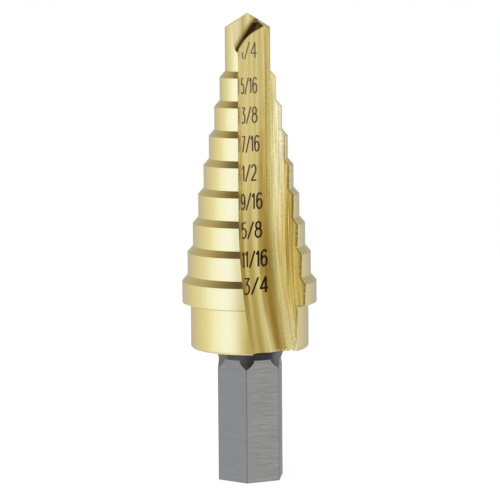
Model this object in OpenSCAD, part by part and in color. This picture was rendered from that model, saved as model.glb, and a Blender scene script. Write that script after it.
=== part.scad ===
// Step drill: one turned, ground and milled piece of steel.
// It stands on the end of its hexagonal shank, with its axis along Z and its point up.
// Angles round the axis are measured from the front (-Y) towards the right (+X).

/* [Steps] */
// Number of drilling steps
step_count = 9; // [5:1:11]
// Diameter of the first step, a quarter of an inch
first_d = 6.35; // [6:0.05:8]
// Growth in diameter from one step to the next, a sixteenth of an inch
step_growth = 1.5875; // [1.3:0.0125:2]
// Height of the straight land on each step
land_h = 3.175; // [2.5:0.025:4]
// Height of the cone that leads on to the next step
cone_h = 0.925; // [0.6:0.025:1.4]
// Height of the land on the last step
last_land_h = 3; // [2:0.1:5]
// Length of the first step, from the lower end of its land to the point
first_len = 8.09; // [7:0.01:11]

/* [Collar] */
// Diameter of the plain collar below the last step
collar_d = 16.7; // [14:0.1:18]
// Height of the collar
collar_h = 6.49; // [4:0.01:9]
// Edge break round the collar's lower end
collar_break = 0.25; // [0.1:0.05:0.5]

/* [Shank] */
// Length of the shank, from its flat end to the underside of the collar
shank_len = 18.85; // [18:0.05:20.5]
// Width of the hexagon across its flats
hex_af = 8.65; // [8.2:0.05:9]
// Length of the milled flats
flats_len = 17.45; // [15.5:0.05:17.6]
// Turn of the hexagon about the axis
hex_turn = -6; // [-30:1:30]
// Diameter of the waist under the collar
waist_d = 9; // [8.6:0.1:9.4]
// Radius of the relief that runs out through the hexagon's corners
relief_r = 2; // [1.6:0.1:2.4]
// Radius of the fillet between the waist and the collar
fillet_r = 1.6; // [1.5:0.1:2]

/* [Flutes] */
// Distance of the rake face from the plane through the axis
rake_x = 1.4; // [1.2:0.05:1.6]
// Depth of the ridge between the two grooves in front of the axis, where the wheel starts to lift
ridge_y = 2.75; // [2.5:0.05:3]
// Radius of the corner between the rake face and the number strip
strip_r = 1.8; // [1.4:0.1:2]
// Slope of the number strip down to the rake face
strip_slope = 12; // [8:1:16]
// Width from the rake face to the ridge
strip_w = 2.5; // [2.2:0.05:2.8]
// Slope of the wall on the far side of the ridge
ridge_slope = 42; // [36:1:50]
// Radius of the chip groove
chip_r = 4.3; // [4:0.1:4.8]
// Distance of the chip groove's centre from the rake face
chip_x = 4; // [3.75:0.05:4.2]
// Depth of the chip groove below the ridge
chip_depth = 1.15; // [0.95:0.05:1.35]
// Direction of the chip groove's outer wall
chip_wall = 36; // [32:1:41]
// Outward slope of the flute from the point to the shank
flute_slope = 3.6; // [3:0.1:4.5]
// Height at which the grinding wheel starts to lift out
lift_z = 37.5; // [34:0.5:41]
// Radius of the grinding wheel's path
wheel_r = 74; // [64:1:84]
// Direction in which the wheel lifts out
lift_turn = 45; // [40:1:50]

/* [Point] */
// Included angle of the point, measured along the lips
point_angle = 132; // [118:1:140]
// Turn of the first lip about the axis
lip_turn = -41; // [-46:1:-36]
// Clearance angle of the flanks behind the lips
clearance = 22; // [14:1:26]
// Half the length of the chisel edge between the two lips
chisel_half = 0.15; // [0.1:0.01:0.3]
// Fall of the heel facet in front of the lip, in the lip's direction
heel_fall = 30; // [28:1:34]
// Fall of the heel facet across the lip
heel_lean = 54; // [50:1:58]
// Radius of the gash that splits the point
gash_r = 1; // [0.8:0.05:1.2]
// Angle of the gash from the axis
gash_angle = 43; // [38:1:48]
// Depth of the gash below the point, at the axis
gash_depth = 2.45; // [2.1:0.05:2.8]
// Lean of the gash wall below the lip
gash_lean = 6; // [0:1:12]
// Angle between the two walls of the gash
gash_open = 75; // [65:1:85]

/* [Hidden] */
$fn = 100;

flute_count = 2;
// A little more than nothing, by which a cut passes the surface that it opens
clear = 1;
// How far the round bar stands out past the hexagon's corners
bar_over = 0.01;
last = step_count - 1;
collar_top = shank_len + collar_h;
tip_z = step_floor(0) + first_len;
// Height of the blank before the point is ground
blank_z = tip_z + clear;
bar_r = hex_af / 2 / cos(30) + bar_over;
waist_r = waist_d / 2;

// How far the flute cutters reach from the axis, and how far up
reach = step_d(last) + 2 * clear;
flute_up = (tip_z - lift_z) / cos(flute_slope) + 2 * clear;
// Turn of the wheel from where it lifts to where it has left the collar
lift_sweep = 1.22 * asin((lift_z - shank_len) / wheel_r);
// Turn of the wheel in the open flute, before it starts to lift
lift_over = 2;
// How much deeper the wheel runs than the straight flute where the two meet
lift_dip = 0.01;

// Fall of the flanks along the lip and behind it
lip_fall = 90 - point_angle / 2;
point_reach = first_d / 2 + clear;

function step_d(i) = first_d + step_growth * i;
function step_land(i) = i == last ? last_land_h : i == 0 ? blank_z - step_floor(0) : land_h;
function step_floor(i) = i == last ? collar_top : step_floor(i + 1) + step_land(i + 1) + cone_h;

// Half of the turned outline above the shank: the collar, then the steps up to the point's height
module body_section() {
    polygon([
        [0, shank_len],
        [collar_d / 2 - collar_break, shank_len],
        [collar_d / 2, shank_len + collar_break],
        [collar_d / 2, collar_top],
        for (k = [0 : last], top = [0, 1])
            let (i = last - k)
            [step_d(i) / 2, step_floor(i) + top * step_land(i)],
        [0, blank_z]
    ]);
}

// Half of the turned outline of the shank, with a waist where the relief meets the fillet
module shank_section() {
    difference() {
        union() {
            square([bar_r, shank_len]);
            translate([0, flats_len])
                square([waist_r + fillet_r, shank_len - flats_len]);
        }
        intersection() {
            translate([waist_r + relief_r, flats_len])
                circle(relief_r);
            translate([waist_r + fillet_r, shank_len - fillet_r])
                circle(fillet_r);
        }
    }
}

// What milling takes off the round bar to leave the six flats
module flats_cut() {
    translate([0, 0, -clear])
        linear_extrude(flats_len + clear)
            difference() {
                circle(bar_r + clear);
                rotate(hex_turn - 90)
                    circle(d = hex_af / cos(30), $fn = 6);
            }
}

// Section of one flute at the height where the wheel starts to lift, seen from above.
// Along X from the left: the rake face, the number strip, the ridge, then the deeper chip groove.
module flute_section() {
    ridge = [strip_w - rake_x, -ridge_y];
    strip_start_x = strip_r - rake_x - strip_r * sin(strip_slope);
    strip_start = [strip_start_x, ridge.y - (ridge.x - strip_start_x) * tan(strip_slope)];
    strip_centre = strip_start + strip_r * [sin(strip_slope), -cos(strip_slope)];
    chip_centre = [chip_x - rake_x, ridge.y + chip_depth - chip_r];
    wall_start = chip_centre + chip_r * [sin(chip_wall), cos(chip_wall)];
    wall_end = wall_start + reach * [1 / tan(chip_wall), -1];
    wall_run = 2 * chip_r;
    union() {
        translate(strip_centre)
            circle(strip_r);
        polygon([
            [-rake_x, strip_centre.y],
            [-rake_x, wall_end.y],
            wall_end,
            wall_start,
            chip_centre,
            ridge,
            strip_start,
            strip_centre
        ]);
        intersection() {
            translate(chip_centre)
                circle(chip_r);
            polygon([
                ridge,
                ridge + wall_run * [cos(ridge_slope), sin(ridge_slope)],
                chip_centre + [wall_run, wall_run],
                chip_centre + [wall_run, -wall_run],
                [ridge.x, chip_centre.y - wall_run]
            ]);
        }
    }
}

// Frame of one flute, whose Z slopes along the flute's floor
module along_flute() {
    translate([0, 0, lift_z])
        rotate([-flute_slope, 0, 0])
            children();
}

// The straight length of one flute, along the steps
module flute_run() {
    along_flute()
        linear_extrude(flute_up)
            flute_section();
}

// The end of one flute, where the wheel lifts out along its own arc
module flute_runout() {
    along_flute()
        rotate([90, 0, 90 + lift_turn])
            translate([lift_dip - wheel_r, 0, 0])
                rotate([0, 0, -lift_sweep])
                    rotate_extrude(angle = lift_sweep + lift_over)
                        translate([wheel_r, 0])
                            rotate(lift_turn - 90)
                                mirror([1, 0])
                                    flute_section();
}

// Turns a shape whose Z runs along the lip, and whose Y stands up, to its place at the point.
// Its X then points to the lip's leading side, and fall is the slope of Z below the level.
module along_lip(fall) {
    translate([0, 0, tip_z])
        rotate([0, 0, lip_turn])
            rotate([90 + fall, 0, 0])
                children();
}

// The flank behind one lip
module flank_cut() {
    along_lip(lip_fall)
        translate([0, 0, -point_reach])
            linear_extrude(2 * point_reach)
                polygon([
                    [chisel_half, chisel_half * tan(clearance)],
                    [chisel_half, 2 * point_reach],
                    [-point_reach, 2 * point_reach],
                    [-point_reach, -point_reach * tan(clearance)]
                ]);
}

// The facet in front of one lip, over the heel of the tooth ahead
module heel_cut() {
    along_lip(heel_fall)
        translate([0, 0, -point_reach])
            linear_extrude(2 * point_reach)
                polygon([
                    [chisel_half, -chisel_half * tan(heel_lean)],
                    [point_reach, -point_reach * tan(heel_lean)],
                    [point_reach, 2 * point_reach],
                    [chisel_half, 2 * point_reach]
                ]);
}

// The gash that sharpens one lip as far as the chisel edge: a groove with a round floor
module gash_cut() {
    wall_run = 3 * point_reach;
    wall_foot = gash_r * [cos(gash_open), -sin(gash_open)];
    along_lip(90 - gash_angle)
        translate([chisel_half, 0, -point_reach])
            linear_extrude(2.6 * point_reach)
                rotate(gash_lean)
                    translate([gash_r, gash_r - gash_depth * sin(gash_angle)]) {
                        circle(gash_r);
                        polygon([
                            [0, 0],
                            wall_foot,
                            wall_foot + wall_run * [sin(gash_open), cos(gash_open)],
                            [-gash_r, wall_run],
                            [-gash_r, 0]
                        ]);
                    }
}

// Repeats a cut for each flute, evenly round the axis
module each_flute() {
    for (k = [0 : flute_count - 1])
        rotate([0, 0, k * 360 / flute_count])
            children();
}

// The stepped head with its collar: turned, fluted, then ground to a split point
module head() {
    difference() {
        rotate_extrude()
            body_section();
        each_flute()
            flute_run();
        each_flute()
            flute_runout();
        each_flute()
            flank_cut();
        each_flute()
            heel_cut();
        each_flute()
            gash_cut();
    }
}

// The shank: turned to its waist, then milled to six flats
module shank() {
    difference() {
        rotate_extrude()
            shank_section();
        flats_cut();
    }
}

// The drill is one piece, so its head and shank are one solid
module step_drill() {
    color("#cbb670") {
        head();
        shank();
    }
}

step_drill();
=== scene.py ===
"""The looks of the step drill: finish, size marks, light, floor and camera.

Blender's lengths are in metres. The finish and the marks are set out in the drill's own millimetres,
with heights from the flat end of the shank.
"""

import math

import bmesh
import bpy
from mathutils import Matrix, Vector
from mathutils.bvhtree import BVHTree


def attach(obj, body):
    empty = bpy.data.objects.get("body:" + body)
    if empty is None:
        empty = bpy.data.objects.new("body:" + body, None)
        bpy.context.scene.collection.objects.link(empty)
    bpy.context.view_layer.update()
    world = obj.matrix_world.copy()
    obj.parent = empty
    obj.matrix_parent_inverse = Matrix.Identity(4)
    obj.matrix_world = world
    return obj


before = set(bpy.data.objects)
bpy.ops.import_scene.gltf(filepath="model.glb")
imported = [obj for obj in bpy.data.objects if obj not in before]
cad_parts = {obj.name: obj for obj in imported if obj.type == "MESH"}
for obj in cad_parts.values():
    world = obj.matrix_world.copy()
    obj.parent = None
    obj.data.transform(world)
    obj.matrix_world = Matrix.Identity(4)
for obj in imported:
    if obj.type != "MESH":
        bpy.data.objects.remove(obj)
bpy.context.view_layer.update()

MM = 0.001
scene = bpy.context.scene
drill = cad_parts["step_drill"]

# Sizes of the drill that the finish follows, in millimetres
STEP_COUNT = 9
FIRST_RADIUS = 3.175
STEP_GROWTH = 0.79375
LAND_HEIGHT = 3.175
LAST_LAND_HEIGHT = 3
CONE_HEIGHT = 0.925
STEP_PITCH = LAND_HEIGHT + CONE_HEIGHT
COLLAR_RADIUS = 8.35
COLLAR_BOTTOM = 18.85
COLLAR_TOP = 25.34
# Above the last land and its cone, the steps between the last and the first rise by a pitch each
FIRST_LAND_END = COLLAR_TOP + LAST_LAND_HEIGHT + CONE_HEIGHT + (STEP_COUNT - 2) * STEP_PITCH
FLATS_LENGTH = 17.45
HALF_FLATS = 4.325
CORNER_RADIUS = HALF_FLATS / math.cos(math.radians(30))

# Directions that three of the flats face, in degrees from the front towards the right
FLAT_TURNS = (-36, 24, 84)

# Height at which the grinding wheel starts to lift out of the flute, and the radius and direction
# of the arc that it then follows
LIFT_HEIGHT = 37.5
WHEEL_RADIUS = 74
LIFT_TURN = 45

# Camera, fitted to the edges of the nine lands in the photograph; its angles are in radians
CAMERA_DISTANCE = 360 * MM
CAMERA_HEIGHT = 77.83 * MM
CAMERA_SIDE = 0.123 * MM
CAMERA_PITCH = 0.125
CAMERA_ROLL = 0.008
CAMERA_CLIP = 10 * MM
FRAME_PIXELS = 500
FOCAL_PIXELS = 2565.66
SENSOR_MM = 36


def make_camera():
    """A camera in front of the drill, looking a little down, with the photograph's small roll."""
    data = bpy.data.cameras.new("camera")
    data.sensor_width = SENSOR_MM
    data.lens = SENSOR_MM * FOCAL_PIXELS / FRAME_PIXELS
    data.clip_start = CAMERA_CLIP
    camera = bpy.data.objects.new("camera", data)
    scene.collection.objects.link(camera)
    level_right = Vector((1, 0, 0))
    level_up = Vector((0, math.sin(CAMERA_PITCH), math.cos(CAMERA_PITCH)))
    back = level_right.cross(level_up)
    right = level_right * math.cos(CAMERA_ROLL) - level_up * math.sin(CAMERA_ROLL)
    up = level_right * math.sin(CAMERA_ROLL) + level_up * math.cos(CAMERA_ROLL)
    turn = Matrix((right, up, back)).transposed().to_4x4()
    place = Matrix.Translation((CAMERA_SIDE, -CAMERA_DISTANCE, CAMERA_HEIGHT))
    camera.matrix_world = place @ turn
    scene.camera = camera


class Value:
    """A number that shader nodes work out, written with the usual operators."""

    def __init__(self, nodes, socket):
        self.nodes = nodes
        self.socket = socket

    def maths(self, operation, *others, clamp=False):
        """One Math node, with this value first; clamp keeps its result from 0 to 1."""
        node = self.nodes.new("ShaderNodeMath", operation=operation, use_clamp=clamp)
        for place, item in enumerate((self, *others)):
            self.nodes.put(item, node.inputs[place])
        return Value(self.nodes, node.outputs[0])

    def __add__(self, other):
        return self.maths("ADD", other)

    def __sub__(self, other):
        return self.maths("SUBTRACT", other)

    def __rsub__(self, other):
        return -self + other

    def __mul__(self, other):
        return self.maths("MULTIPLY", other)

    def __truediv__(self, other):
        return self.maths("DIVIDE", other)

    def __neg__(self):
        return self.maths("MULTIPLY", -1)

    def __abs__(self):
        return self.maths("ABSOLUTE")

    def at_least(self, other):
        return self.maths("MAXIMUM", other)

    def at_most(self, other):
        return self.maths("MINIMUM", other)

    def above(self, other):
        """1 above the other number, 0 elsewhere."""
        return self.maths("GREATER_THAN", other)

    def rise(self, start, end):
        """0 up to start, 1 from end on, and straight between them; end may be the lower of the two."""
        return (self - start).maths("DIVIDE", end - start, clamp=True)

    def between(self, low, high):
        """low where this is 0, high where it is 1."""
        return self * (high - low) + low


class Nodes:
    """A node tree with short calls for the nodes that the materials and the light share."""

    # Sockets of a Mix node that carry colours
    MIX_LOW = 6
    MIX_HIGH = 7
    MIX_RESULT = 2

    def __init__(self, tree):
        self.tree = tree

    def new(self, kind, **settings):
        node = self.tree.nodes.new(kind)
        for name, value in settings.items():
            setattr(node, name, value)
        return node

    def put(self, item, socket):
        """Gives a socket its input: a value, another socket, a colour or a number."""
        if isinstance(item, Value):
            self.tree.links.new(item.socket, socket)
        elif isinstance(item, bpy.types.NodeSocket):
            self.tree.links.new(item, socket)
        elif isinstance(item, tuple):
            socket.default_value = (*item, 1)
        else:
            socket.default_value = item

    def coordinates(self, kind):
        """X, Y and Z of one kind of texture coordinate."""
        source = self.new("ShaderNodeTexCoord")
        split = self.new("ShaderNodeSeparateXYZ")
        self.put(source.outputs[kind], split.inputs[0])
        return [Value(self, socket) for socket in split.outputs]

    def light_path(self, question):
        """1 for the rays that a question such as Is Camera Ray holds for, 0 for the others."""
        return Value(self, self.new("ShaderNodeLightPath").outputs[question])

    def noise(self, x, y, z, detail, roughness=0.5):
        """Noise at the point (x, y, z), each one a value or a number."""
        join = self.new("ShaderNodeCombineXYZ")
        for item, socket in zip((x, y, z), join.inputs):
            self.put(item, socket)
        texture = self.new("ShaderNodeTexNoise")
        self.put(join.outputs[0], texture.inputs["Vector"])
        self.put(1, texture.inputs["Scale"])
        self.put(detail, texture.inputs["Detail"])
        self.put(roughness, texture.inputs["Roughness"])
        return Value(self, texture.outputs["Fac"])

    def ramp(self, value, stops, start, end):
        """The colour at a value, from stops between start and end, each one a place and a colour."""
        node = self.new("ShaderNodeValToRGB")
        elements = node.color_ramp.elements
        while len(elements) < len(stops):
            elements.new(1)
        for element, (place, colour) in zip(elements, stops):
            element.position = (place - start) / (end - start)
            element.color = (*colour, 1)
        self.put((value - start) / (end - start), node.inputs[0])
        return node.outputs[0]

    def blend(self, share, low, high, blend_type="MIX"):
        """The colour or socket low where share is 0, and high where it is 1."""
        mix = self.new("ShaderNodeMix", data_type="RGBA", blend_type=blend_type)
        self.put(share, mix.inputs["Factor"])
        self.put(low, mix.inputs[self.MIX_LOW])
        self.put(high, mix.inputs[self.MIX_HIGH])
        return mix.outputs[self.MIX_RESULT]

    def scaled(self, colour, factor):
        """A colour times a value, kept to 1 at most."""
        scale = self.new("ShaderNodeVectorMath", operation="SCALE")
        self.put(colour, scale.inputs[0])
        self.put(factor, scale.inputs["Scale"])
        least = self.new("ShaderNodeVectorMath", operation="MINIMUM")
        self.put(scale.outputs[0], least.inputs[0])
        least.inputs[1].default_value = (1, 1, 1)
        return least.outputs[0]


class Finish(Nodes):
    """A node material."""

    def __init__(self, name):
        self.material = bpy.data.materials.new(name)
        self.material.use_nodes = True
        super().__init__(self.material.node_tree)
        self.shader = self.tree.nodes["Principled BSDF"]

    def set_input(self, name, item):
        """Gives one of the shader's inputs its value, colour or number."""
        self.put(item, self.shader.inputs[name])


class PlacedFinish(Finish):
    """A node material that follows the place on the drill, x, y and z in millimetres."""

    def __init__(self, name):
        super().__init__(name)
        self.x, self.y, self.z = [part * (1 / MM) for part in self.coordinates("Object")]

    def pattern(self, across, along, detail, roughness=0.5):
        """Noise with so many spots in a millimetre across the drill and along it."""
        return self.noise(self.x * across, self.y * across, self.z * along, detail, roughness)


# Noises: the spots in a millimetre across and along the drill, and the number of finer layers.
# The streaks and the wall's lines follow the flutes, and the brush lines are a little rougher.
STREAKS = (6, 0.12, 3)
WALL_LINES = (3.2, 0.07, 2)
GRAIN = (6, 4, 2)
RINGS = (0, 14, 3)
EDGE_BITES = (0, 2.5, 2)
BURRS = (4, 0, 2)
SCRATCHES = (0.5, 30, 2)
BRUSH_LINES = (0.4, 18, 3, 0.6)
CLOUDS = (0.5, 0.35, 2)
MARK_SPECKS = (12, 12, 2)
# The average of a noise, and how far the noises of the two flutes are kept apart
AVERAGE = 0.5
FLUTES_APART = 10

# Golds of the ground flutes, from the palest to the darkest
PALE = (1.0, 0.94, 0.58)
BRIGHT = (0.92, 0.80, 0.47)
GOLD = (0.80, 0.67, 0.31)
OCHRE = (0.66, 0.53, 0.19)
BROWN = (0.55, 0.43, 0.17)

# Zones across a flute, from the worn edge of the rake face outwards: the strip with its corner, the
# ridge, then the chip groove and its outer wall. First along the upper steps, then towards the collar.
# Their golds are partly the coat's own tones and partly painted light and shade, lighter where a surface
# faces the light and darker where it faces away
ACROSS_UPPER_PAINTED_SHADING = [
    (-1.35, BRIGHT), (-0.6, OCHRE), (0.0, BRIGHT), (0.6, PALE), (1.2, GOLD), (1.7, OCHRE),
    (2.8, BRIGHT), (3.6, GOLD), (5.1, BRIGHT), (6.2, OCHRE),
]
ACROSS_LOWER_PAINTED_SHADING = [
    (-1.35, PALE), (-0.7, OCHRE), (-0.15, BROWN), (0.4, GOLD), (0.75, PALE), (1.2, PALE),
    (1.35, BRIGHT), (1.85, GOLD), (2.2, BROWN), (3.3, BROWN), (4.1, OCHRE), (5.2, GOLD), (6.7, OCHRE),
    (7.2, BROWN),
]
ACROSS_ENDS = (-1.6, 7.6)
LOWER_TO_UPPER = (33, 45)

# Where a part of the surface begins and where it is there in full, in millimetres: the ground surface
# below the turned body, then the chip groove and its outer wall across the flute
GROUND_DEPTH = (0.04, 0.12)
GROOVE_START = (1.3, 3.0)
WALL_START = (3.6, 5.2)

# Strength of the streaks and the grain, first on the strip and then in the groove
STREAK_CONTRAST = (0.4, 1.4)
GRAIN_CONTRAST = (0.1, 0.7)

# Brown lines along the flute: the levels of their noise, and their share on the wall and in the groove
LINE_LEVELS = (0.51, 0.62)
LINES_ON_WALL = 0.65
LINES_IN_GROOVE = 0.12
LINE_BROWN = (0.40, 0.26, 0.08)

# Dark, ragged outer edge of the flute: its depth below the turned body, its start across the flute, the
# levels of its noise, and the heights over which it grows strong from the faint edge of the first steps
# down to the others. Beside the collar it is faint again.
EDGE_DEPTH = (0.65, 0.35)
EDGE_START = (3.5, 4.5)
EDGE_LEVELS = (0.34, 0.5)
EDGE_HEIGHTS = (47, 44)
EDGE_SHARES = (0.3, 0.8)
EDGE_BROWN = (0.24, 0.15, 0.04)

# Small pale burrs where the flute runs out of the collar
BURR_HEIGHTS = (19.2, 19.0)
BURR_LEVELS = (0.48, 0.56)
BURR_GOLD = (1.0, 0.98, 0.85)

# Edge of the painted shade on the gash's far wall as seen from the front: a point on it and its direction.
# Below the wall the strip ends at a bent line, which slopes less to the right of its middle.
GASH_EDGE = (0.435, 64.86)
GASH_ALONG = (0.547, 0.837)
GASH_BLUR = (-0.35, 0.45)
STRIP_END = (0.2, 62.9)
STRIP_END_SLOPES = (0.55, 1.35)
STRIP_END_BLUR = (0.0, 0.2)
# Painted shade on the gash's far wall and the heel: its share and its colour
GASH_SHADE_SHARE = 0.92
GASH_PAINTED_SHADE = (0.11, 0.065, 0.028)

# Turned surfaces: the two golds of the steps' rings, and the collar
RING_GOLDS = ((0.77, 0.67, 0.36), (0.82, 0.72, 0.41))
COLLAR_GOLD = (0.80, 0.68, 0.355)

# Painted shadow in the corner under the last land, and scratches low on the collar
UNDER_LAND_SHADOW_HEIGHTS = (COLLAR_TOP - 0.4, COLLAR_TOP - 0.1)
UNDER_LAND_SHADOW_SHARE = 0.75
UNDER_LAND_SHADOW_BROWN = (0.10, 0.075, 0.03)
SCRATCH_HEIGHTS = (22.0, 19.6)
SCRATCH_LEVELS = (0.6, 0.7)
SCRATCH_SHARE = 0.45
SCRATCH_BROWN = (0.30, 0.24, 0.11)

# Bare steel: the two greys of the brush lines to the left, and to the right the lighter, bluer greys of
# painted light, the flats' corners, and the neck above the flats, painted dark as shade under the collar and
# darkest in front
BRUSH_LEVELS = (0.3, 0.7)
LEFT_STEELS = ((0.224, 0.213, 0.203), (0.264, 0.251, 0.239))
# The right side's greys are lighter and bluer: painted light
RIGHT_PAINTED_LIGHT_STEELS = ((0.235, 0.241, 0.274), (0.42, 0.427, 0.478))
CORNER_START = (CORNER_RADIUS - 0.06, CORNER_RADIUS - 0.02)
CORNER_SHARE = 0.5
CORNER_STEEL = (0.08, 0.078, 0.08)
NECK_MIDDLE = (-0.6, 0.4)
FRONT_NECK_PAINTED_SHADES = ((0.072, 0.071, 0.067), (0.044, 0.046, 0.053))
NECK_SIDES = (2.9, 3.7)
SIDE_NECK_PAINTED_SHADE = (0.19, 0.187, 0.185)

# Slack within which a point still lies on a flat or on the coat, in millimetres
FLAT_SLACK = 0.015
HEIGHT_SLACK = 0.01
COAT_SLACK = 0.02

# Roughness of the bare steel, then of the turned and the ground coat, and the clouds' part in it
STEEL_ROUGHNESS = 0.38
COAT_ROUGHNESS = (0.24, 0.30)
CLOUD_ROUGHNESS = 0.08
ANISOTROPY = 0.5
QUARTER_TURN = 0.25

# Height of the fine relief, each pattern's share of it, and the rounding of the edges
RELIEF_HEIGHT = 0.008 * MM
GRAIN_RELIEF = 1.2
RING_RELIEF = 0.5
BRUSH_RELIEF = 0.5
EDGE_ROUNDING = 0.06 * MM
EDGE_SAMPLES = 6


class DrillFinish(PlacedFinish):
    """Pale gold coat on turned steps and ground flutes, bare brushed steel on the shank."""

    def __init__(self):
        super().__init__("coated_steel")
        self.radius = (self.x * self.x + self.y * self.y).maths("SQRT")
        self.in_collar = 1 - self.z.above(COLLAR_TOP)
        self.depth = self.turned_radius() - self.radius
        self.ground = self.depth.rise(*GROUND_DEPTH)
        self.turned = 1 - self.ground
        self.coated = self.z.above(COLLAR_BOTTOM - COAT_SLACK)

        # Place across the flute that faces this side, which moves right as the wheel lifts out
        self.side = (-self.y).maths("SIGN")
        self.beside = self.x * self.side
        lift = (LIFT_HEIGHT - self.z).at_least(0)
        shift = math.sin(math.radians(LIFT_TURN)) / (2 * WHEEL_RADIUS)
        self.across = self.beside - lift * lift * shift
        self.groove = self.across.rise(*GROOVE_START)

        self.streak = self.flute_pattern(*STREAKS)
        self.grain = self.pattern(*GRAIN)
        self.ring = self.pattern(*RINGS)
        self.brush = self.pattern(*BRUSH_LINES)

    def turned_radius(self):
        """Radius of the turned body at this height: the steps with their cones, then the collar."""
        down = ((FIRST_LAND_END - self.z) / STEP_PITCH).at_least(0)
        step = down.maths("FLOOR")
        cone = ((down - step) * (STEP_PITCH / CONE_HEIGHT)).at_most(1)
        steps = (step + cone).at_most(STEP_COUNT - 1) * STEP_GROWTH + FIRST_RADIUS
        return self.in_collar.between(steps, COLLAR_RADIUS)

    def flute_pattern(self, across, along, detail):
        """Noise with so many spots in a millimetre across the flute and along it."""
        return self.noise(self.across * across, self.side * FLUTES_APART, self.z * along, detail)

    def reach(self, turn):
        """Distance from the axis in a direction, in degrees from the front towards the right."""
        angle = math.radians(turn)
        return self.x * math.sin(angle) - self.y * math.cos(angle)

    def turned_gold(self):
        """Gold of the steps, with fine rings, and of the collar."""
        return self.blend(self.in_collar, self.blend(self.ring, *RING_GOLDS), COLLAR_GOLD)

    def ground_gold(self):
        """Gold of the flutes: zones across them with painted light and shade, uneven with streaks and grain,
        and worn edges.
        """
        lower, upper = [self.ramp(self.across, zones, *ACROSS_ENDS) for zones in (ACROSS_LOWER_PAINTED_SHADING, ACROSS_UPPER_PAINTED_SHADING)]
        gold = self.blend(self.z.rise(*LOWER_TO_UPPER), lower, upper)
        streaks = (self.streak - AVERAGE) * self.groove.between(*STREAK_CONTRAST)
        grains = (self.grain - AVERAGE) * self.groove.between(*GRAIN_CONTRAST)
        gold = self.scaled(gold, streaks + grains + 1)

        lines_share = self.across.rise(*WALL_START) * LINES_ON_WALL + self.groove * LINES_IN_GROOVE
        lines = self.flute_pattern(*WALL_LINES).rise(*LINE_LEVELS) * lines_share
        gold = self.blend(lines, gold, LINE_BROWN)

        by_steps = (1 - self.in_collar) * self.z.rise(*EDGE_HEIGHTS)
        ragged = self.depth.rise(*EDGE_DEPTH) * self.pattern(*EDGE_BITES).rise(*EDGE_LEVELS)
        ragged = ragged * self.across.rise(*EDGE_START) * by_steps.between(*EDGE_SHARES)
        gold = self.blend(ragged, gold, EDGE_BROWN)

        burrs = self.z.rise(*BURR_HEIGHTS) * self.pattern(*BURRS).rise(*BURR_LEVELS) * self.groove
        return self.blend(burrs, gold, BURR_GOLD)

    def paint_gash_shade(self, gold):
        """Paints shade on the far wall of each gash, and on the heel in front of the lip."""
        past_edge = (self.beside - GASH_EDGE[0]) * GASH_ALONG[1] - (self.z - GASH_EDGE[1]) * GASH_ALONG[0]
        from_middle = self.beside - STRIP_END[0]
        slope, steep_slope = STRIP_END_SLOPES
        strip_end = (from_middle * slope).at_most(from_middle * steep_slope) + STRIP_END[1]
        shaded_wall = past_edge.rise(*GASH_BLUR) * (self.z - strip_end).rise(*STRIP_END_BLUR)
        return self.blend(shaded_wall * GASH_SHADE_SHARE, gold, GASH_PAINTED_SHADE)

    def shade_and_scratch_collar(self, gold):
        """Adds a painted shadow in the corner under the last land, and scratches low on the collar."""
        # Painted contact shadow of the last land on the collar
        under_land_shadow = self.in_collar * self.z.rise(*UNDER_LAND_SHADOW_HEIGHTS) * self.turned
        gold = self.blend(under_land_shadow * UNDER_LAND_SHADOW_SHARE, gold, UNDER_LAND_SHADOW_BROWN)
        scratches = self.pattern(*SCRATCHES).rise(*SCRATCH_LEVELS) * self.z.rise(*SCRATCH_HEIGHTS)
        return self.blend(scratches * self.turned * SCRATCH_SHARE, gold, SCRATCH_BROWN)

    def steel(self):
        """Greys of the bare shank: brushed flats with dark corners and a right side painted lighter, below a
        neck painted dark with shade.
        """
        lines = self.brush.rise(*BRUSH_LEVELS)
        left, right = [self.blend(lines, *greys) for greys in (LEFT_STEELS, RIGHT_PAINTED_LIGHT_STEELS)]
        # The side facing right gets the lighter greys of painted light
        flats = self.blend(self.reach(FLAT_TURNS[-1]).above(0), left, right)

        first, second, third = [abs(self.reach(turn)) for turn in FLAT_TURNS]
        on_flat = first.at_least(second).at_least(third).above(HALF_FLATS - FLAT_SLACK)
        milled = on_flat * (1 - self.z.above(FLATS_LENGTH + HEIGHT_SLACK))
        corners = milled * self.radius.rise(*CORNER_START) * CORNER_SHARE
        flats = self.blend(corners, flats, CORNER_STEEL)

        # Painted shade on the neck under the collar, darkest in front and lighter at the sides
        front_neck_shade = self.blend(self.x.rise(*NECK_MIDDLE), *FRONT_NECK_PAINTED_SHADES)
        neck = self.blend(abs(self.x).rise(*NECK_SIDES), front_neck_shade, SIDE_NECK_PAINTED_SHADE)
        return self.blend(milled, neck, flats)

    def colour(self):
        ground_gold = self.paint_gash_shade(self.ground_gold())
        gold = self.shade_and_scratch_collar(self.blend(self.ground, self.turned_gold(), ground_gold))
        return self.blend(self.coated, self.steel(), gold)

    def roughness(self):
        clouds = (self.pattern(*CLOUDS) - AVERAGE) * CLOUD_ROUGHNESS
        return self.coated.between(STEEL_ROUGHNESS, self.ground.between(*COAT_ROUGHNESS)) + clouds

    def normal(self):
        """Small relief of the streaks, rings and brush lines, on edges that are a little rounded."""
        flute_relief = self.streak + self.grain * self.groove * GRAIN_RELIEF
        coat_relief = self.ground.between(self.ring * RING_RELIEF, flute_relief)
        bevel = self.new("ShaderNodeBevel", samples=EDGE_SAMPLES)
        self.put(EDGE_ROUNDING, bevel.inputs["Radius"])
        bump = self.new("ShaderNodeBump")
        self.put(self.coated.between(self.brush * BRUSH_RELIEF, coat_relief), bump.inputs["Height"])
        self.put(RELIEF_HEIGHT, bump.inputs["Distance"])
        self.put(bevel.outputs[0], bump.inputs["Normal"])
        return bump.outputs[0]


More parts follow.
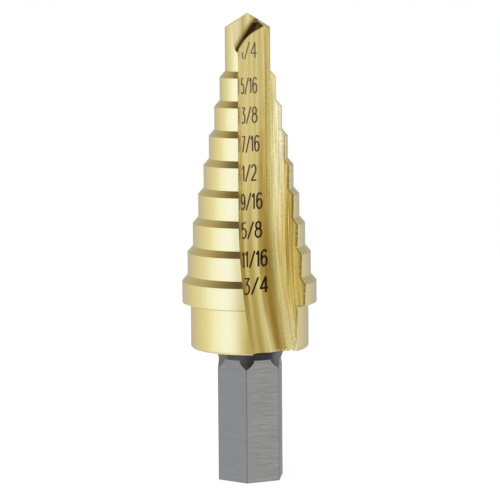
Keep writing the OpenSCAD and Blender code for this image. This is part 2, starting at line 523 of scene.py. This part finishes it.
def drill_finish():
    """The drill's metal, brushed round the axis on the turned body and along it in the flutes."""
    finish = DrillFinish()
    finish.set_input("Base Color", finish.colour())
    finish.set_input("Roughness", finish.roughness())
    finish.set_input("Normal", finish.normal())
    finish.set_input("Metallic", 1)
    finish.set_input("Anisotropic", ANISOTROPY)
    finish.set_input("Anisotropic Rotation", finish.coated * finish.ground * QUARTER_TURN)
    tangent = finish.new("ShaderNodeTangent", direction_type="RADIAL", axis="Z")
    finish.set_input("Tangent", tangent.outputs[0])
    return finish.material


# Two colours of the marks' specks, near the collar and near the point, and the brown that the low
# marks turn to at their left ends
LOW_MARK_COLOURS = ((0.012, 0.008, 0.004), (0.06, 0.042, 0.02))
HIGH_MARK_COLOURS = ((0.22, 0.14, 0.135), (0.42, 0.29, 0.28))
MARK_HEIGHTS = (36, 58)
MARK_BROWN = (0.20, 0.12, 0.045)
MARK_BROWN_START = (0.4, -0.9)
MARK_BROWN_SHARE = 0.7
MARK_ROUGHNESS = 0.6
MARK_SPECULAR = 0.15


def mark_finish():
    """Dark burnt lines of a laser-marked number."""
    finish = PlacedFinish("mark")
    specks = finish.pattern(*MARK_SPECKS)
    low = finish.blend(specks, *LOW_MARK_COLOURS)
    low = finish.blend(finish.x.rise(*MARK_BROWN_START) * MARK_BROWN_SHARE, low, MARK_BROWN)
    high = finish.blend(specks, *HIGH_MARK_COLOURS)
    finish.set_input("Base Color", finish.blend(finish.z.rise(*MARK_HEIGHTS), low, high))
    finish.set_input("Roughness", MARK_ROUGHNESS)
    finish.set_input("Specular IOR Level", MARK_SPECULAR)
    return finish.material


def arc(centre_x, centre_y, radius_x, radius_y, start, end, count=14):
    """Points on an ellipse's arc, with the angles in degrees from the right, turning left."""
    points = []
    for index in range(count + 1):
        angle = math.radians(start + (end - start) * index / count)
        points.append((centre_x + radius_x * math.cos(angle), centre_y + radius_y * math.sin(angle)))
    return points


def six():
    """One stroke: over the top, down the left side and once round the bowl."""
    top = arc(0.55, 0.62, 0.50, 0.38, 40, 180)
    bowl = arc(0.52, 0.31, 0.45, 0.31, 180, -180, 24)
    return [top + [(0.05, 0.45)] + bowl]


# Strokes of each character in a cell one unit wide and one unit high.
# The character "i" is only the foot of a 1.
GLYPHS = {
    "1": [[(0.0, 0.78), (0.65, 1.0), (0.65, 0.0)]],
    "i": [[(0.6, 0.40), (0.65, 0.0)]],
    "2": [arc(0.48, 0.70, 0.42, 0.30, 160, -35) + [(0.04, 0.0), (1.0, 0.0)]],
    "3": [[(0.08, 1.0), (0.88, 1.0), (0.42, 0.62)] + arc(0.42, 0.31, 0.50, 0.31, 90, -140)],
    "4": [[(0.72, 0.0), (0.72, 1.0), (0.0, 0.30), (1.0, 0.30)]],
    "5": [[(0.90, 1.0), (0.18, 1.0), (0.12, 0.56)] + arc(0.45, 0.32, 0.50, 0.32, 115, -140)],
    "6": six(),
    "7": [[(0.0, 1.0), (0.95, 1.0), (0.30, 0.0)]],
    "8": [arc(0.5, 0.77, 0.38, 0.23, 0, 360, 20), arc(0.5, 0.28, 0.48, 0.28, 0, 360, 24)],
    "9": [[(1 - across, 1 - up) for across, up in stroke] for stroke in six()],
    "/": [[(0.0, -0.06), (1.0, 1.04)]],
}
NARROW = {"1": 0.55, "i": 0.55}
CHARACTER_GAP = 0.28

# Each mark: the text, the height of its middle, and its left and right ends, in millimetres.
# The gash leaves only the foot of the 1 in the first of them.
MARKS = [
    ("i/4", 60.9, -0.85, 1.25),
    ("5/16", 56.0, -0.9, 1.25),
    ("3/8", 51.9, -0.85, 1.25),
    ("7/16", 47.9, -0.85, 1.5),
    ("1/2", 43.85, -0.8, 1.1),
    ("9/16", 39.85, -1.0, 1.85),
    ("5/8", 35.85, -0.95, 1.75),
    ("11/16", 31.8, -0.9, 2.5),
    ("3/4", 28.1, -0.65, 2.6),
]
MARK_HEIGHT = 2.15
# Power by which the characters crowd to the left, where they also sink by this much
MARK_CROWDING = 1.2
MARK_SINK = 0.1
# Width of the lowest mark's strokes, what they lose for each millimetre up, and the share of their
# width that they gain for each millimetre to the right
STROKE_WIDTH = 0.235
STROKE_THINNING = 0.0022
STROKE_WIDENING = 0.12
# How far a stroke stands out of the flute and how far it reaches into it
STROKE_PROUD = 0.02
STROKE_DEPTH = 0.03
STROKE_STEP = 0.06
RIBBON_ROWS = 4
# Distance in front of the axis from which the strokes are pressed on
PRESS_START = 20
SHORTEST_LEG = 1e-9


def resample(points, spacing):
    """The same line as points an even distance apart."""
    line = [Vector(point) for point in points]
    lengths = [0.0]
    for start, end in zip(line, line[1:]):
        lengths.append(lengths[-1] + (end - start).length)
    count = max(2, round(lengths[-1] / spacing))
    result = []
    leg = 0
    for index in range(count + 1):
        along = lengths[-1] * index / count
        while leg < len(line) - 2 and lengths[leg + 1] < along:
            leg += 1
        share = (along - lengths[leg]) / max(lengths[leg + 1] - lengths[leg], SHORTEST_LEG)
        result.append(line[leg].lerp(line[leg + 1], share))
    return result


def mark_strokes(text, middle, left, right):
    """Strokes of one mark as points (x, z) in millimetres, crowded towards the steep left side."""
    widths = [NARROW.get(character, 1) for character in text]
    total = sum(widths) + CHARACTER_GAP * (len(text) - 1)
    strokes = []
    start = 0
    for character, width in zip(text, widths):
        for stroke in GLYPHS[character]:
            points = []
            for across, up in stroke:
                share = max((start + across * width) / total, 0) ** MARK_CROWDING
                sink = MARK_SINK * (1 - share)
                points.append((left + (right - left) * share, middle - sink + (up - 0.5) * MARK_HEIGHT))
            strokes.append(points)
        start += width + CHARACTER_GAP
    return strokes


def add_stroke(mesh, surface, points, width):
    """Lays a thin closed ribbon along the points, pressed from the front onto the flute."""
    line = resample(points, STROKE_STEP)
    rings = []
    for index, point in enumerate(line):
        before, after = line[max(index - 1, 0)], line[min(index + 1, len(line) - 1)]
        along = (after - before).normalized()
        side = Vector((-along.y, along.x))
        wide = width * (1 + STROKE_WIDENING * point.x)
        upper, lower = [], []
        for row in range(RIBBON_ROWS + 1):
            at = point + side * wide * (row / RIBBON_ROWS - 0.5)
            start = Vector((at.x, -PRESS_START, at.y)) * MM
            hit, normal, _, _ = surface.ray_cast(start, Vector((0, 1, 0)))
            upper.append(mesh.verts.new(hit + normal * STROKE_PROUD * MM))
            lower.append(mesh.verts.new(hit - normal * STROKE_DEPTH * MM))
        rings.append(upper + lower[::-1])
    for first, second in zip(rings, rings[1:]):
        for corner in range(len(first)):
            following = (corner + 1) % len(first)
            mesh.faces.new((first[corner], first[following], second[following], second[corner]))
    mesh.faces.new(rings[0][::-1])
    mesh.faces.new(rings[-1])


def make_marks():
    """The size of each step, marked on the front flute beside it."""
    surface = BVHTree.FromObject(drill, bpy.context.evaluated_depsgraph_get())
    material = mark_finish()
    lowest = MARKS[-1][1]
    for text, middle, left, right in MARKS:
        mesh = bmesh.new()
        width = STROKE_WIDTH - STROKE_THINNING * (middle - lowest)
        for points in mark_strokes(text, middle, left, right):
            add_stroke(mesh, surface, points, width)
        bmesh.ops.recalc_face_normals(mesh, faces=mesh.faces)
        name = "size_mark_" + text.replace("/", "_").replace("i", "1")
        data = bpy.data.meshes.new(name)
        mesh.to_mesh(data)
        mesh.free()
        piece = bpy.data.objects.new(name, data)
        scene.collection.objects.link(piece)
        data.materials.append(material)
        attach(piece, "root")


# Light of the studio round the drill: the angle from the front, left negative, and the colour
AROUND = [
    (-180, (0.55, 0.56, 0.58)), (-152, (0.62, 0.61, 0.60)), (-128, (0.76, 0.73, 0.62)),
    (-106, (0.92, 0.89, 0.71)), (-89, (0.98, 0.99, 0.81)), (-74, (1.18, 1.27, 1.30)),
    (-60, (1.21, 1.34, 1.62)), (-47, (1.23, 1.39, 1.86)), (-35, (1.23, 1.41, 1.90)),
    (-23, (1.10, 1.15, 1.24)), (-12, (0.72, 0.71, 0.34)), (0, (0.52, 0.41, 0.17)),
    (12, (0.56, 0.49, 0.26)), (24, (0.70, 0.66, 0.42)), (36, (0.80, 0.77, 0.60)),
    (50, (1.06, 1.04, 0.97)), (64, (1.06, 1.05, 0.99)), (90, (0.85, 0.86, 0.84)),
    (116, (0.78, 0.78, 0.77)), (152, (0.55, 0.56, 0.58)), (180, (0.55, 0.56, 0.58)),
]
# Share of that light left at each height: the sine of the angle above the horizon, and the share
OVERHEAD = [
    (0.0, (1.0, 1.0, 1.0)), (0.41, (0.83, 0.81, 0.70)), (0.69, (0.66, 0.59, 0.51)),
    (0.835, (0.34, 0.29, 0.15)), (0.885, (0.19, 0.15, 0.065)), (0.92, (0.115, 0.08, 0.04)),
    (0.95, (0.085, 0.05, 0.034)), (1.0, (0.075, 0.045, 0.034)),
]
# A ramp's colours go up to 1, so those above are divided by this, and the light is as much stronger
LEVEL_SCALE = 2.0
WHITE = (1, 1, 1)


def make_world():
    """A plain studio: light all round at the drill's height, dark overhead, white to the camera."""
    world = bpy.data.worlds.new("studio")
    scene.world = world
    world.use_nodes = True
    nodes = Nodes(world.node_tree)
    x, y, z = nodes.coordinates("Generated")
    angle = x.maths("ARCTAN2", -y) * math.degrees(1)
    levels = [(place, tuple(part / LEVEL_SCALE for part in colour)) for place, colour in AROUND]
    around = nodes.ramp(angle, levels, -180, 180)
    overhead = nodes.ramp(z, OVERHEAD, 0, 1)
    light = nodes.blend(1, around, overhead, "MULTIPLY")
    seen = nodes.light_path("Is Camera Ray")
    background = world.node_tree.nodes["Background"]
    nodes.put(nodes.blend(seen, light, WHITE), background.inputs["Color"])
    nodes.put(seen.between(LEVEL_SCALE, 1), background.inputs["Strength"])


FLOOR_RADIUS = 250 * MM
FLOOR_SIDES = 96
# Colour that takes the shadow, and the floor's glow to the camera, which make the rest of it white
FLOOR_COLOUR = (0.7, 0.7, 0.92)
FLOOR_GLOW = 0.77


def floor_finish():
    """A dull white that glows to the camera and isn't there for reflections."""
    finish = Finish("floor")
    finish.set_input("Base Color", FLOOR_COLOUR)
    finish.set_input("Roughness", 1)
    finish.set_input("Specular IOR Level", 0)
    finish.set_input("Emission Color", WHITE)
    finish.set_input("Emission Strength", finish.light_path("Is Camera Ray") * FLOOR_GLOW)
    clear = finish.new("ShaderNodeBsdfTransparent")
    mix = finish.new("ShaderNodeMixShader")
    finish.put(finish.light_path("Is Glossy Ray"), mix.inputs["Fac"])
    finish.put(finish.shader.outputs[0], mix.inputs[1])
    finish.put(clear.outputs[0], mix.inputs[2])
    finish.put(mix.outputs[0], finish.tree.nodes["Material Output"].inputs["Surface"])
    return finish.material


def make_floor():
    """A round white floor that keeps a faint shadow of the drill."""
    mesh = bmesh.new()
    bmesh.ops.create_circle(mesh, cap_ends=True, segments=FLOOR_SIDES, radius=FLOOR_RADIUS)
    data = bpy.data.meshes.new("floor")
    mesh.to_mesh(data)
    mesh.free()
    floor = bpy.data.objects.new("floor", data)
    scene.collection.objects.link(floor)
    data.materials.append(floor_finish())


make_camera()
make_world()
make_floor()
scene.view_settings.view_transform = "Standard"
drill.data.materials.clear()
drill.data.materials.append(drill_finish())
make_marks()
